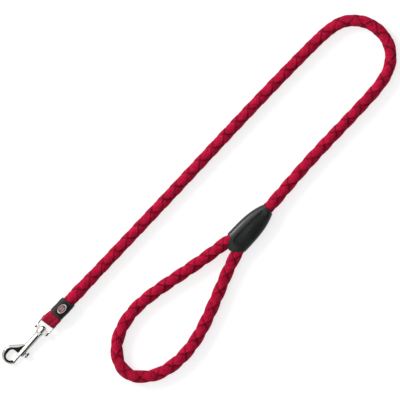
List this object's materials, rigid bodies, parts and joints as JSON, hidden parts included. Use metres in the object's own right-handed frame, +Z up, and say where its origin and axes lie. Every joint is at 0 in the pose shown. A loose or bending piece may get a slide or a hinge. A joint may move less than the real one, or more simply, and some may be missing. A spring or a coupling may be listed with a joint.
{
  "type": "rope dog lead",
  "caption": "Plaited rope dog lead with a sewn hand loop, a moulded splice cover and a swivelling bolt snap held by a webbing neck.",
  "frame": {"origin": "on the surface the lead lies on, under the middle of the box round the snap, the label sleeve and the splice cover", "axes": "+X from the snap along the straight part of the rope, +Z up from the surface the lead lies on"},
  "size_m": [0.5248, 0.1457, 0.0146],
  "materials": {
    "rope": "crimson plaited polyamide tape, fine twill weave, soft sheen",
    "webbing": "crimson woven webbing, folded and padded",
    "thread": "dark red sewing thread",
    "cover": "black moulded rubber, satin, fine grain",
    "sleeve": "black soft PVC sleeve, matt",
    "badge": null,
    "nickel": "bright nickel-plated zinc casting",
    "spring_wire": "spring wire, lightly oiled"
  },
  "bodies": {
    "lead": {"lead_rope": "rope", "splice_cover": "cover", "splice_stitching": "thread", "neck_webbing": "webbing", "neck_stitching": "thread", "label_sleeve": "sleeve", "label_badge": "badge"},
    "eye": {"strap_eye": "nickel"},
    "snap": {"snap_body": "nickel", "swivel_rivet": "nickel", "bolt_spring": "spring_wire"},
    "bolt_and_knob": {"bolt": "nickel", "thumb_knob": "nickel"}
  },
  "joints": [
    {"name": "eye_hinge", "type": "hinge", "parent": "lead", "child": "eye", "pos_m": [-0.091, 0.0394, 0.0058], "axis": [-0.0698, 0.9976, 0], "range_deg": [0, 110]},
    {"name": "snap_swivel", "type": "hinge", "parent": "eye", "child": "snap", "pos_m": [-0.10256, 0.03859, 0.00519], "axis": [0.9962, 0.0697, 0.0523], "continuous": true},
    {"name": "bolt_slide", "type": "slide", "parent": "snap", "child": "bolt_and_knob", "axis": [0.9962, 0.0697, 0.0523], "range_m": [0, 0.0098], "stiffness_N_per_m": 350, "springref_m": -0.012, "deforming": ["bolt_spring"]}
  ]
}
